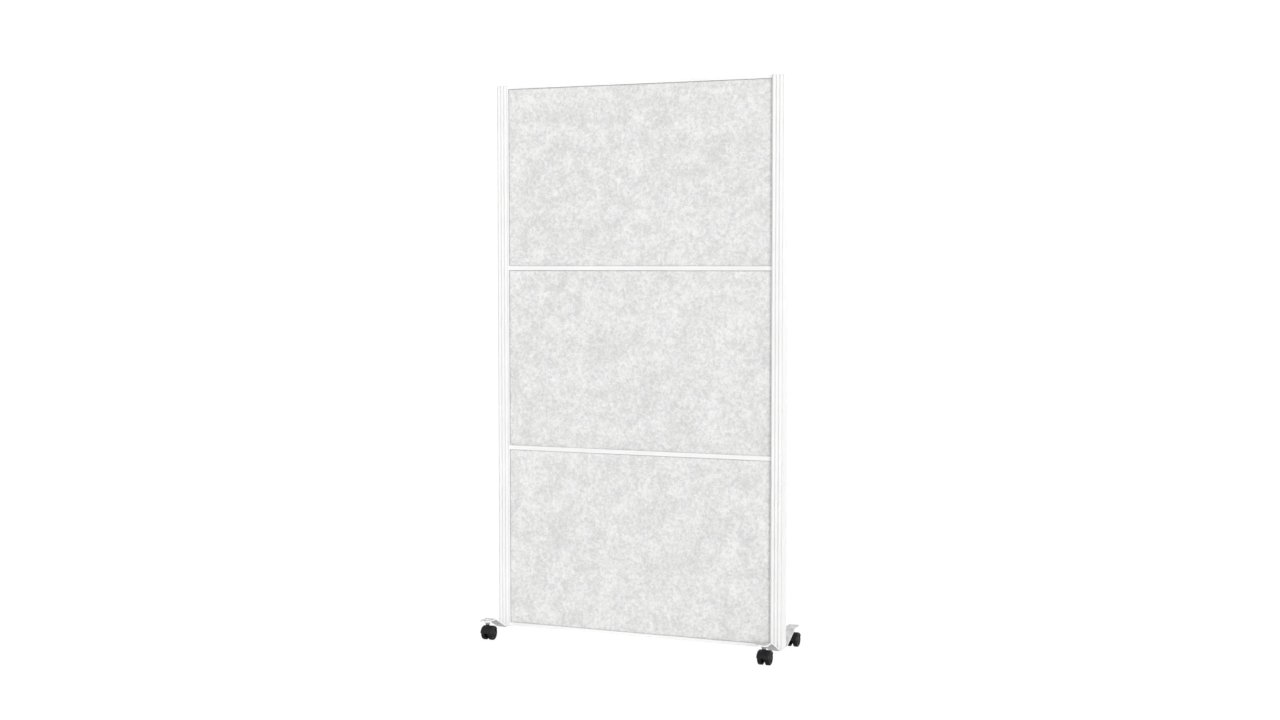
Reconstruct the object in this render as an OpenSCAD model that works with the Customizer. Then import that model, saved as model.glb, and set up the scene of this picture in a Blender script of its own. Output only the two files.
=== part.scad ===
// Partition wall on castors: three felt panels, one above the other between two ribbed
// posts, on bent foot plates with twin-wheel castors.
// X runs along the wall, the front faces -Y and Z is up.
// The origin is on the floor, in the wall's centre plane, midway between the posts.

/* [Wall] */
// Width over the outer faces of the posts
wall_w = 1000; // [700:10:1400]
// Clear height between two rails' webs, where one panel stands
bay_h = 596; // [300:2:800]
// Height of the posts' lower ends above the floor
post_bottom = 28; // [16:1:40]

/* [Post] */
// Width of a post, along the wall
post_w = 38; // [36:1:60]
// Depth of a post, through the wall
post_d = 50; // [48:1:80]
// Thickness of a post's skin and inner webs
post_skin = 2.2; // [1.8:0.1:2.8]
// Width of each flat rib on the front and rear faces
rib_w = 8; // [5:0.5:9]
// Width of the flutes between the ribs
flute_w = 3.5; // [2:0.5:4.5]
// Depth of the flutes
flute_depth = 1.6; // [0.6:0.1:2]
// Depth of the channel that takes the panels' ends
channel_depth = 9; // [6:0.5:12]
// Width of the recess for the cover strip
strip_w = 36; // [24:1:40]
// Thickness of the cover strip
strip_t = 1.6; // [1:0.1:2]
// Thickness of a post's end cap
cap_t = 2; // [1.5:0.1:6]

/* [Rail] */
// Thickness of a rail's web, on which a panel stands
rail_web = 5; // [4.5:0.1:10]
// Height of the lips that hold a panel's edges
lip_h = 4.3; // [3:0.1:12]
// Thickness of the lips
lip_t = 2; // [1.5:0.1:4]
// Width and depth of the line along the face of a middle rail
rail_line = 0.8; // [0.5:0.1:1.2]
// How far a rail's tongues in the posts lie below its web
tongue_drop = 0.4; // [0.2:0.1:0.4]

/* [Panel] */
// Thickness of a core board
core_t = 12; // [8:0.5:16]
// Thickness of each felt
felt_t = 9; // [4:0.5:11]
// Clearance above a panel and at its ends
panel_gap = 0.5; // [0.3:0.1:0.8]
// Clearance on each face of a panel in its channels
channel_gap = 0.3; // [0.2:0.05:0.6]

/* [Foot] */
// Width of a foot plate
foot_w = 36; // [32:1:60]
// Thickness of a foot plate
foot_t = 4; // [3:0.5:8]
// Distance from the wall's centre plane to the end of a foot plate
foot_reach = 170; // [165:1:260]
// Length of the flat tip over a castor
tip_len = 48; // [40:1:60]
// Half the length of the flat base under the post
base_half = 34; // [30:1:45]
// Inner radius of the bends
bend_r = 10; // [6:1:20]
// Radius of the plate's corners
foot_corner = 8; // [4:1:14]

/* [Castor] */
// Wheel diameter
wheel_d = 45; // [40:1:60]
// Width of one wheel
wheel_w = 14.5; // [12:0.5:20]
// Gap between the two wheels of a castor
wheel_gap = 11; // [10.5:0.5:14]
// Rounding of a wheel's outer edge
wheel_round = 4; // [3:0.5:6]
// Axle diameter
axle_d = 6; // [5:0.5:8]
// Distance from the swivel axis back to the axle
trail = 10; // [8:1:18]
// Distance from the wall's centre plane to a castor's swivel axis
stem_y = 144; // [140:1:230]
// Thickness of the hood's shell
hood_shell = 1.6; // [1.2:0.1:2.5]
// Thread diameter of a castor's stem
stem_d = 10; // [8:1:12]
// Size of the stem's hexagon, across its flats
hex_size = 14; // [13:0.5:18]
// Height of the stem's hexagon
hex_h = 11; // [4:0.5:14]
// Diameter of the stem's plain pin, on which the hood turns
pin_d = 7; // [5.5:0.5:7.5]
// Radial clearance of the running fits
running_gap = 0.05; // [0.02:0.01:0.1]

/* [Fasteners] */
// Diameter of a rail screw
rail_screw_d = 3; // [2.5:0.1:3.5]
// Length of a rail screw under its head
rail_screw_len = 28; // [20:1:50]
// Distance of a rail screw from the wall's centre plane
rail_screw_y = 4; // [3.8:0.1:4.5]
// Diameter of a foot bolt
foot_bolt_d = 8; // [6:1:8]
// Length of a foot bolt, with its countersunk head
foot_bolt_len = 40; // [25:1:60]
// Diameter of a foot bolt's head
foot_head_d = 14; // [12:0.5:15]
// Radial clearance of screws and bolts in their holes
screw_gap = 0.1; // [0.05:0.05:0.3]

/* [Hidden] */
$fn = 64;

// Colours
coat_white = [0.95, 0.95, 0.95];
plastic_white = [0.93, 0.93, 0.92];
felt_grey = [0.86, 0.86, 0.85];
board_brown = [0.72, 0.62, 0.48];
steel = [0.72, 0.73, 0.75];
nylon_black = [0.07, 0.07, 0.07];

// Ends and sides of the wall, levels of its bays, and the wheels of a castor
LEFT = -1;
RIGHT = 1;
FRONT = -1;
REAR = 1;
BOTTOM = 0;
MIDDLE = 1;
TOP = 2;
OUTER = 1;
INNER = -1;
bay_count = 3;

// How far a cutting shape reaches past what it cuts
over = 1;

// Places along the wall and through it
post_x = (wall_w - post_w) / 2;
inner_x = wall_w / 2 - post_w;
channel_x = inner_x + channel_depth;
foot_x = (wall_w - foot_w) / 2;
panel_t = core_t + 2 * felt_t;
channel_w = panel_t + 2 * channel_gap;
rail_d = channel_w + 2 * lip_t;
panel_h = bay_h - panel_gap;
panel_w = 2 * (channel_x - panel_gap);

// Heights
pitch = bay_h + rail_web;
post_h = rail_web + bay_count * pitch;
post_top = post_bottom + post_h;
base_z = post_bottom - foot_t;

// Inside of a post, from its centre
half_w = post_w / 2;
half_d = post_d / 2;
face_skin = post_skin + flute_depth;
strip_gap = 0.15;
strip_step = 0.2;
strip_recess = strip_t + strip_step;
channel_web = post_skin;
chamber_low = channel_depth + channel_web - half_w;
chamber_high = half_w - strip_recess - post_skin;
port_wall = 2.4;
port_sink = 0.4;
port_d = foot_bolt_d + 2 * screw_gap;
port_x = (chamber_low + chamber_high) / 2;
port_y = half_d - face_skin - port_wall - port_d / 2 + port_sink;
cap_pin_len = 8;

// Rail screws, whose heads are as wide as a rail's web
rail_head_d = rail_web;
rail_head_h = 2.4;
rail_access_gap = 0.5;
rail_access_d = rail_head_d + 2 * rail_access_gap;

// Castor heights and widths
axle_z = wheel_d / 2;
wheel_r = wheel_d / 2;
side_gap = 0.5;
hood_gap = 0.6;
web_t = wheel_gap - 2 * side_gap;
wheels_w = wheel_gap + 2 * wheel_w;
hood_r = wheel_r + hood_gap + hood_shell;
hood_w = wheels_w + 2 * (hood_gap + hood_shell);
hood_open = [40, 176];
inner_round = 2;
hood_hub_r = 13;
hood_side_rim = 7;
hood_side_r = wheel_r - hood_side_rim;
boss_r = 6;
boss_h = 6;
swivel_gap = 0.3;
hex_z = axle_z + hood_r + boss_h + swivel_gap;
castor_h = hex_z + hex_h;
pin_floor = 2.6;
pin_bottom = axle_z + axle_d / 2 + pin_floor;
snap_lift = 2;
snap_z = pin_bottom + snap_lift;
snap_h = 2;
snap_out = 0.6;
axle_wall = 3;
axle_slack = 0.02;
wheel_bore_len = wheel_w - axle_wall;
axle_len = wheel_gap + 2 * (wheel_bore_len - side_gap);

// The children drawn at the right end of the wall, or mirrored to its left end
module at_end(end) {
    mirror([end < 0 ? 1 : 0, 0, 0]) children();
}

// ---- Posts ----------------------------------------------------------------

// A box from low to high in X and Y
module between(low, high) {
    translate(low) square(high - low);
}

// The outline of a post, centred, with its outer side towards +X
module post_outline(corner = 1) {
    square([post_w, post_d - 2 * corner], center = true);
    square([post_w - 2 * corner, post_d], center = true);
    for (x = [-1, 1]) {
        for (y = [-1, 1]) {
            translate([x * (half_w - corner), y * (half_d - corner)]) circle(corner);
        }
    }
}

// Flutes between the ribs, and a step at each edge of the face
module face_flutes() {
    edge = (post_w - 3 * rib_w - 2 * flute_w) / 2;
    for (x = [-1, 1]) {
        translate([x * (rib_w + flute_w) / 2, 0]) square([flute_w, 2 * flute_depth], center = true);
        translate([x * half_w, 0]) square([2 * edge, 2 * flute_depth], center = true);
    }
}

// A port for a foot bolt, tied to the front or rear wall by a web
module bolt_port(side) {
    translate([port_x, side * port_y]) circle(d = port_d + 2 * port_wall);
    translate([port_x - post_skin / 2, side > 0 ? port_y : -half_d + flute_depth])
        square([post_skin, half_d - flute_depth - port_y]);
}

// The hollows: one behind the cover strip and one in each lip of the channel
module post_chambers() {
    difference() {
        between([chamber_low, face_skin - half_d], [chamber_high, half_d - face_skin]);
        bolt_port(FRONT);
        bolt_port(REAR);
    }
    for (side = [FRONT, REAR]) {
        mirror([0, side < 0 ? 1 : 0]) between(
            [post_skin - half_w, channel_w / 2 + post_skin],
            [chamber_low - post_skin, half_d - face_skin]
        );
    }
}

module post_section() {
    difference() {
        post_outline();
        translate([0, half_d]) face_flutes();
        translate([0, -half_d]) face_flutes();
        between([half_w - strip_recess, -strip_w / 2], [half_w + over, strip_w / 2]);
        between([-half_w - over, -channel_w / 2], [channel_depth - half_w, channel_w / 2]);
        post_chambers();
        for (side = [FRONT, REAR]) {
            translate([port_x, side * port_y]) circle(d = port_d);
        }
    }
}

// Middle height of the web of each rail, from 0 at the bottom
function web_z(level) = post_bottom + rail_web / 2 + level * pitch;

// The children at each of the two screws of every rail, their axis along +X
module at_rail_screws() {
    for (level = [0 : bay_count]) {
        for (side = [FRONT, REAR]) {
            translate([channel_x, side * rail_screw_y, web_z(level)]) rotate([0, 90, 0]) children();
        }
    }
}

module post(end) {
    color(coat_white) at_end(end) difference() {
        translate([post_x, 0, post_bottom]) linear_extrude(post_h) post_section();
        at_rail_screws() {
            translate([0, 0, -over])
                cylinder(d = rail_screw_d + 2 * screw_gap, h = channel_web + 2 * over);
            translate([0, 0, channel_web + over]) cylinder(d = rail_access_d, h = post_w);
        }
    }
}

// The cap lies on the post's end, with two pins in its bolt ports
module post_cap(end) {
    color(plastic_white) at_end(end) translate([post_x, 0, post_top]) {
        linear_extrude(cap_t) post_outline();
        for (side = [FRONT, REAR]) {
            translate([port_x, side * port_y, -cap_pin_len])
                cylinder(d = port_d - 2 * screw_gap, h = cap_pin_len);
        }
    }
}

module cover_strip(end) {
    color(plastic_white) at_end(end)
        translate([wall_w / 2 - strip_recess, strip_gap - strip_w / 2, post_bottom])
            cube([strip_t, strip_w - 2 * strip_gap, post_h]);
}

// ---- Rails ----------------------------------------------------------------

// Screws from inside a post into the rails' ends
module rail_screws(end) {
    color(steel) at_end(end) at_rail_screws() {
        translate([0, 0, channel_web]) difference() {
            cylinder(d = rail_head_d, h = rail_head_h);
            translate([0, 0, rail_head_h / 2]) cylinder(d = rail_head_d / 2, h = rail_head_h, $fn = 6);
        }
        translate([0, 0, channel_web - rail_screw_len]) cylinder(d = rail_screw_d, h = rail_screw_len);
    }
}

// A rail between the posts. Its web reaches into their channels, where the screws hold it.
module rail(level) {
    up = level < bay_count ? lip_h : 0;
    down = level > 0 ? lip_h : 0;
    color(coat_white) difference() {
        union() {
            translate([-inner_x, -rail_d / 2, web_z(level) - rail_web / 2 - down])
                cube([2 * inner_x, rail_d, rail_web + up + down]);
            translate([-channel_x, -panel_t / 2, web_z(level) - rail_web / 2])
                cube([2 * channel_x, panel_t, rail_web - tongue_drop]);
        }
        translate([-wall_w / 2, -channel_w / 2, web_z(level) + rail_web / 2])
            cube([wall_w, channel_w, lip_h + over]);
        translate([-wall_w / 2, -channel_w / 2, web_z(level) - rail_web / 2 - lip_h - over])
            cube([wall_w, channel_w, lip_h + over]);
        if (up > 0 && down > 0) {
            for (side = [FRONT, REAR]) {
                translate([0, side * rail_d / 2, web_z(level)])
                    cube([wall_w, 2 * rail_line, rail_line], center = true);
            }
        }
        for (end = [LEFT, RIGHT]) {
            for (side = [FRONT, REAR]) {
                translate([end * channel_x, side * rail_screw_y, web_z(level)]) rotate([0, 90, 0])
                    cylinder(d = rail_screw_d + screw_gap, h = 2 * rail_screw_len, center = true);
            }
        }
    }
}

// ---- Panels ---------------------------------------------------------------

// A layer of the panel in a bay, from one depth to another
module layer(bay, y, thickness) {
    translate([-panel_w / 2, y, web_z(bay) + rail_web / 2]) cube([panel_w, thickness, panel_h]);
}

module front_felt(bay) {
    color(felt_grey) layer(bay, -panel_t / 2, felt_t);
}

module core_board(bay) {
    color(board_brown) layer(bay, -core_t / 2, core_t);
}

module rear_felt(bay) {
    color(felt_grey) layer(bay, core_t / 2, felt_t);
}

// ---- Feet -----------------------------------------------------------------

// The arm is the straight tangent between the base's bend and the tip's bend
bend_mid = bend_r + foot_t / 2;
low_bend = [base_half, base_z + foot_t + bend_r];
high_bend = [foot_reach - tip_len, castor_h - bend_r];
arm_run = high_bend.x - low_bend.x;
arm_rise = high_bend.y - low_bend.y;
bend_gap = sqrt(arm_run * arm_run + arm_rise * arm_rise);
arm_angle = atan2(arm_rise, arm_run) + asin(2 * bend_mid / bend_gap);
bend_steps = 10;

// Points round a bend, from one angle to another
function arc(middle, radius, from, to) = [
    for (i = [0 : bend_steps])
        let (angle = from + (to - from) * i / bend_steps)
        middle + radius * [cos(angle), sin(angle)]
];

// The rear half of the plate seen from the side, from its middle along the top to the end
// of the tip, and back along the underside
foot_half = concat(
    [[0, base_z + foot_t]],
    arc(low_bend, bend_r, -90, arm_angle - 90),
    arc(high_bend, bend_r + foot_t, arm_angle + 90, 90),
    [[foot_reach, castor_h + foot_t], [foot_reach, castor_h]],
    arc(high_bend, bend_r, 90, arm_angle + 90),
    arc(low_bend, bend_r + foot_t, arm_angle - 90, -90),
    [[0, base_z]]
);

module foot_profile() {
    last = len(foot_half) - 1;
    polygon(concat(foot_half, [for (i = [last : -1 : 0]) [-foot_half[i].x, foot_half[i].y]]));
}

// The plate seen from above
module foot_plan() {
    square([foot_w - 2 * foot_corner, 2 * foot_reach], center = true);
    square([foot_w, 2 * (foot_reach - foot_corner)], center = true);
    for (x = [-1, 1]) {
        for (y = [-1, 1]) {
            translate([x * (foot_w / 2 - foot_corner), y * (foot_reach - foot_corner)])
                circle(foot_corner);
        }
    }
}

// The children at both foot bolts, or at both castor stems, of the right end
module at_foot_bolts() {
    for (side = [FRONT, REAR]) {
        translate([post_x + port_x, side * port_y, base_z]) children();
    }
}

module foot(end) {
    color(coat_white) at_end(end) difference() {
        intersection() {
            translate([foot_x, 0, 0]) rotate([90, 0, 90])
                linear_extrude(foot_w, center = true) foot_profile();
            translate([foot_x, 0, 0]) linear_extrude(castor_h + 2 * foot_t) foot_plan();
        }
        at_foot_bolts() {
            translate([0, 0, -over]) cylinder(d = port_d, h = foot_t + 2 * over);
            foot_bolt_head(screw_gap);
        }
        for (side = [FRONT, REAR]) {
            translate([foot_x, side * stem_y, castor_h - over])
                cylinder(d = stem_d + 2 * screw_gap, h = foot_t + 2 * over);
        }
    }
}

// A countersunk head, or with a gap the seat for it
module foot_bolt_head(gap) {
    head_h = (foot_head_d - foot_bolt_d) / 2;
    translate([0, 0, -gap])
        cylinder(d1 = foot_head_d + 4 * gap, d2 = foot_bolt_d + 2 * gap, h = head_h + gap);
}

module foot_bolts(end) {
    socket_d = foot_bolt_d * 0.7;
    color(steel) at_end(end) at_foot_bolts() difference() {
        union() {
            foot_bolt_head(0);
            cylinder(d = foot_bolt_d, h = foot_bolt_len);
        }
        translate([0, 0, -over]) cylinder(d = socket_d, h = foot_bolt_d / 2 + over, $fn = 6);
    }
}

// ---- Castors --------------------------------------------------------------

// The children at a castor, with its swivel axis at X = Y = 0 and its outer wheel towards +X
module at_castor(end, side) {
    at_end(end) translate([foot_x, side * stem_y, 0]) children();
}

// The children turned so that their Z axis is the axle, pointing along +X
module on_axle() {
    translate([0, trail, axle_z]) rotate([0, 90, 0]) children();
}

// The pin's outline with its snap ring, from the axis outwards, grown by a gap
module pin_section(low, high, gap) {
    between([0, low], [pin_d / 2 + gap, high]);
    between([0, snap_z - gap], [pin_d / 2 + snap_out + gap, snap_z + snap_h + gap]);
}

// The stem: its thread is in the foot's tip, and the hood turns on its pin
module castor_stem(end, side) {
    color(steel) at_castor(end, side) {
        rotate_extrude() pin_section(pin_bottom, hex_z + 1, 0);
        translate([0, 0, hex_z]) cylinder(d = hex_size / cos(30), h = hex_h, $fn = 6);
        translate([0, 0, hex_z + 1]) cylinder(d = stem_d, h = castor_h + foot_t - hex_z - 1);
    }
}

// A disc seen in half section: radius along X and width along Y, with its outer edges rounded
module disc_section(radius, low, high, round_low, round_high) {
    between([0, low], [radius - max(round_low, round_high), high]);
    between([0, low + round_low], [radius, high - round_high]);
    if (round_low < round_high) {
        between([0, low], [radius - round_low, (low + high) / 2]);
    }
    translate([radius - round_low, low + round_low]) circle(round_low);
    translate([radius - round_high, high - round_high]) circle(round_high);
}

// One wheel, from the gap outwards: a hub, a hollow open towards the hood and a rounded tread
module wheel(end, side, place) {
    hub_t = 4;
    hub_r = axle_d / 2 + hub_t;
    rim_t = 5;
    disc_t = 4;
    dish = 1;
    dish_low = hub_r + 1;
    dish_high = wheel_r - wheel_round - 2;
    color(nylon_black) at_castor(end, side) on_axle() mirror([0, 0, place < 0 ? 1 : 0])
        rotate_extrude($fn = 96) difference() {
            disc_section(wheel_r, wheel_gap / 2, wheels_w / 2, inner_round, wheel_round);
            between([hub_r, wheel_gap / 2 - over], [wheel_r - rim_t, wheels_w / 2 - disc_t]);
            between([0, 0], [axle_d / 2 + running_gap, wheel_gap / 2 + wheel_bore_len]);
            between([dish_low, wheels_w / 2 - dish], [dish_high, wheels_w / 2 + over]);
        }
}

module castor_axle(end, side) {
    color(steel) at_castor(end, side) on_axle() cylinder(d = axle_d, h = axle_len, center = true);
}

// The part of the hood over the wheels, seen along the axle, with +X to the rear
module hood_sector() {
    reach = 3 * hood_r;
    middle = (hood_open[0] + hood_open[1]) / 2;
    polygon([
        [0, 0], reach * [cos(hood_open[0]), sin(hood_open[0])],
        reach * [cos(middle), sin(middle)], reach * [cos(hood_open[1]), sin(hood_open[1])]
    ]);
}

// The room that one wheel turns in, with the opening in the hood's side
module wheel_room() {
    rotate_extrude($fn = 96) {
        disc_section(
            wheel_r + hood_gap, web_t / 2, wheels_w / 2 + hood_gap, inner_round, wheel_round + hood_gap
        );
        between([0, web_t / 2], [hood_side_r, hood_w]);
    }
}

// The hood: a shell over both wheels on a middle web, with a socket for the stem's pin
module castor_hood(end, side) {
    shell_round = wheel_round + hood_gap + hood_shell;
    color(nylon_black) at_castor(end, side) difference() {
        union() {
            intersection() {
                on_axle() rotate_extrude($fn = 96)
                    disc_section(hood_r, -hood_w / 2, hood_w / 2, shell_round, shell_round);
                translate([0, trail, axle_z]) rotate([90, 0, 90])
                    linear_extrude(2 * hood_w, center = true) hood_sector();
            }
            on_axle() cylinder(r = hood_hub_r, h = web_t, center = true);
            translate([0, 0, axle_z + wheel_r - trail])
                cylinder(r = boss_r, h = hood_r - wheel_r + trail + boss_h);
        }
        on_axle() wheel_room();
        on_axle() mirror([0, 0, 1]) wheel_room();
        on_axle() cylinder(d = axle_d + 2 * axle_slack, h = hood_w, center = true);
        rotate_extrude() pin_section(pin_bottom - swivel_gap, hex_z + 1, running_gap);
    }
}

post(LEFT);  // left_post
post(RIGHT);  // right_post
post_cap(LEFT);  // left_post_cap
post_cap(RIGHT);  // right_post_cap
cover_strip(LEFT);  // left_cover_strip
cover_strip(RIGHT);  // right_cover_strip
rail(0);  // bottom_rail
rail(1);  // lower_middle_rail
rail(2);  // upper_middle_rail
rail(3);  // top_rail
front_felt(BOTTOM);  // bottom_front_felt
core_board(BOTTOM);  // bottom_core_board
rear_felt(BOTTOM);  // bottom_rear_felt
front_felt(MIDDLE);  // middle_front_felt
core_board(MIDDLE);  // middle_core_board
rear_felt(MIDDLE);  // middle_rear_felt
front_felt(TOP);  // top_front_felt
core_board(TOP);  // top_core_board
rear_felt(TOP);  // top_rear_felt
rail_screws(LEFT);  // left_rail_screws
rail_screws(RIGHT);  // right_rail_screws
foot(LEFT);  // left_foot
foot(RIGHT);  // right_foot
foot_bolts(LEFT);  // left_foot_bolts
foot_bolts(RIGHT);  // right_foot_bolts
castor_stem(LEFT, FRONT);  // front_left_stem
castor_hood(LEFT, FRONT);  // front_left_hood
castor_axle(LEFT, FRONT);  // front_left_axle
wheel(LEFT, FRONT, OUTER);  // front_left_outer_wheel
wheel(LEFT, FRONT, INNER);  // front_left_inner_wheel
castor_stem(RIGHT, FRONT);  // front_right_stem
castor_hood(RIGHT, FRONT);  // front_right_hood
castor_axle(RIGHT, FRONT);  // front_right_axle
wheel(RIGHT, FRONT, OUTER);  // front_right_outer_wheel
wheel(RIGHT, FRONT, INNER);  // front_right_inner_wheel
castor_stem(LEFT, REAR);  // rear_left_stem
castor_hood(LEFT, REAR);  // rear_left_hood
castor_axle(LEFT, REAR);  // rear_left_axle
wheel(LEFT, REAR, OUTER);  // rear_left_outer_wheel
wheel(LEFT, REAR, INNER);  // rear_left_inner_wheel
castor_stem(RIGHT, REAR);  // rear_right_stem
castor_hood(RIGHT, REAR);  // rear_right_hood
castor_axle(RIGHT, REAR);  // rear_right_axle
wheel(RIGHT, REAR, OUTER);  // rear_right_outer_wheel
wheel(RIGHT, REAR, INNER);  // rear_right_inner_wheel
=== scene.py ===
"""Looks of a partition wall on castors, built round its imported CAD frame.

The file is laid out as an add-on and run as a script. Lengths are in metres, X runs along
the wall, the front faces -Y and Z is up.
"""

import math

import bpy
import numpy as np
from mathutils import Matrix, Vector


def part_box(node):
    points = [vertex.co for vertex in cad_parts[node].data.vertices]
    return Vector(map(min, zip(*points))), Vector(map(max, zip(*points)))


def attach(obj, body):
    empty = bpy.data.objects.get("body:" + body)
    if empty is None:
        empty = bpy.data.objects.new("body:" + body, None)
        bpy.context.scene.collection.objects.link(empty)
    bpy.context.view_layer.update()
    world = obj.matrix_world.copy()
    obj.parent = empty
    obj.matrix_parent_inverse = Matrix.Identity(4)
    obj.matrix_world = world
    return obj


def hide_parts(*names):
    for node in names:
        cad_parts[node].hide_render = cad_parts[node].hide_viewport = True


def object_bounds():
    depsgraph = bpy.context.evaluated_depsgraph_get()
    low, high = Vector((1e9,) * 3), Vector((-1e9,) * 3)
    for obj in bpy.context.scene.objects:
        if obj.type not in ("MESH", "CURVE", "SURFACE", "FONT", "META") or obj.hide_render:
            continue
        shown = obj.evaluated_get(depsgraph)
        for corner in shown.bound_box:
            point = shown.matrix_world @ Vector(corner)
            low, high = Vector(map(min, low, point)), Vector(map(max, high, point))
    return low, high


bl_info = {
    "name": "Partition wall",
    "version": (1, 0, 0),
    "blender": (4, 5, 0),
    "location": "View3D > Sidebar > Partition wall",
    "description": "Builds the felts, castor wheels, finishes and studio of a partition wall",
    "category": "Object",
}

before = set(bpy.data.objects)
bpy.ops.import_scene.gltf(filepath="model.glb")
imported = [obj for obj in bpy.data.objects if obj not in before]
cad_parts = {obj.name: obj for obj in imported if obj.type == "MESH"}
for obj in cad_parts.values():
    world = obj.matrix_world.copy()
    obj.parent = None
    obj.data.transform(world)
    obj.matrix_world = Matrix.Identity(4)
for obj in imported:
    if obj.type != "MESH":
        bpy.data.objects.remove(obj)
CAD_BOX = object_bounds()

MM = 0.001

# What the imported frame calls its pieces
BAYS = ("bottom", "middle", "top")
ENDS = ("left", "right")
CASTORS = ("front_left", "front_right", "rear_left", "rear_right")
WHEELS = ("outer", "inner")
POSTS = ("left_post", "right_post")
RAILS = ("bottom_rail", "lower_middle_rail", "upper_middle_rail", "top_rail")

# Depth of the flutes in the posts, colours of what settles on the wall, and colours of the shade
# painted into the flutes and onto the feet's top faces
FLUTE_DEPTH = 1.6 * MM
WHITE = (1, 1, 1, 1)
# Grey on faces that look up: light dust on the posts and rails, painted shade on the feet's top faces.
GREY_DUST_AND_SHADE = (0.4, 0.4, 0.395, 1)
# Painted shade: the grey laid into the posts' flutes, where their walls shade them.
FLUTE_SHADE = (0.42, 0.42, 0.415, 1)
TRIM_DUST = (0.5, 0.49, 0.47, 1)
NYLON_RUBBED = (0.035, 0.035, 0.035, 1)
NYLON_DUST = (0.1, 0.098, 0.092, 1)


# ---- Sizes and colours a user may change ------------------------------------


class PARTITION_PG_coat(bpy.types.PropertyGroup):
    """Powder coat on the posts, rails and feet"""

    colour: bpy.props.FloatVectorProperty(
        name="Colour", description="Colour of the powder coat",
        subtype="COLOR", size=3, min=0, max=1, default=(0.87, 0.87, 0.87),
    )
    roughness: bpy.props.FloatProperty(
        name="Roughness", description="Middle roughness of the coat", min=0, max=1, default=0.42,
    )
    peel_size: bpy.props.FloatProperty(
        name="Peel size", description="Size of the waves of the orange peel",
        unit="LENGTH", min=0.0002, default=1.6 * MM,
    )
    edge_radius: bpy.props.FloatProperty(
        name="Edge radius", description="Radius of the coat over a sharp edge",
        unit="LENGTH", min=0, default=0.5 * MM,
    )
    gloss: bpy.props.FloatProperty(
        name="Gloss", description="Strength of the coat's reflection",
        subtype="FACTOR", min=0, max=1, default=0.3,
    )
    # Painted shade in the posts' flutes: how much grey is laid where their walls shade them.
    flute_shade: bpy.props.FloatProperty(
        name="Flute shade", description="How much grey dust has gathered in the posts' flutes",
        subtype="FACTOR", min=0, max=1, default=0.4,
    )


class PARTITION_PG_plastic(bpy.types.PropertyGroup):
    """Moulded caps, cover strips, hoods and wheels"""

    trim_colour: bpy.props.FloatVectorProperty(
        name="Trim colour", description="Colour of the post caps and cover strips",
        subtype="COLOR", size=3, min=0, max=1, default=(0.86, 0.86, 0.857),
    )
    nylon_colour: bpy.props.FloatVectorProperty(
        name="Nylon colour", description="Colour of the castors' hoods and wheels",
        subtype="COLOR", size=3, min=0, max=1, default=(0.008, 0.008, 0.0085),
    )
    grain_size: bpy.props.FloatProperty(
        name="Grain size", description="Size of the grain that the mould leaves",
        unit="LENGTH", min=0.0001, default=0.45 * MM,
    )


class PARTITION_PG_felt(bpy.types.PropertyGroup):
    """The felt on both faces of the panels"""

    light_colour: bpy.props.FloatVectorProperty(
        name="Light colour", description="Colour of the felt's light fibres",
        subtype="COLOR", size=3, min=0, max=1, default=(0.84, 0.84, 0.835),
    )
    grey_colour: bpy.props.FloatVectorProperty(
        name="Grey colour", description="Colour of the felt's grey fibres",
        subtype="COLOR", size=3, min=0, max=1, default=(0.57, 0.57, 0.565),
    )
    crown: bpy.props.FloatProperty(
        name="Crown", description="How far the felt swells out between the lips that hold it",
        unit="LENGTH", min=0, max=0.002, default=0.7 * MM,
    )
    pinch: bpy.props.FloatProperty(
        name="Pinch", description="How far the felt sinks in along the lips that hold it",
        unit="LENGTH", min=0, max=0.003, default=1.5 * MM,
    )
    # Painted shade: the felt's colour darkened along the lips, where the rails and posts shade it.
    edge_shade: bpy.props.FloatProperty(
        name="Edge shade", description="How much darker the felt is where the lips press it",
        subtype="FACTOR", min=0, max=1, default=0.45,
    )
    edge_radius: bpy.props.FloatProperty(
        name="Edge radius", description="Rounding of the felt's cut edges",
        unit="LENGTH", min=0.0002, default=1.2 * MM,
    )
    mesh_step: bpy.props.FloatProperty(
        name="Mesh step", description="Spacing of the mesh over the felt's face",
        unit="LENGTH", min=0.002, default=7 * MM,
    )


class PARTITION_PG_wheel(bpy.types.PropertyGroup):
    """The castors' wheels"""

    spokes: bpy.props.IntProperty(
        name="Spokes", description="Number of spokes moulded in the outer face",
        min=3, max=12, default=6,
    )
    pocket_depth: bpy.props.FloatProperty(
        name="Pocket depth", description="Depth of the pockets between the spokes",
        unit="LENGTH", min=0, default=1.2 * MM,
    )
    tread_line: bpy.props.FloatProperty(
        name="Tread line", description="Depth of the moulded line round the tread",
        unit="LENGTH", min=0, default=0.25 * MM,
    )


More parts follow.
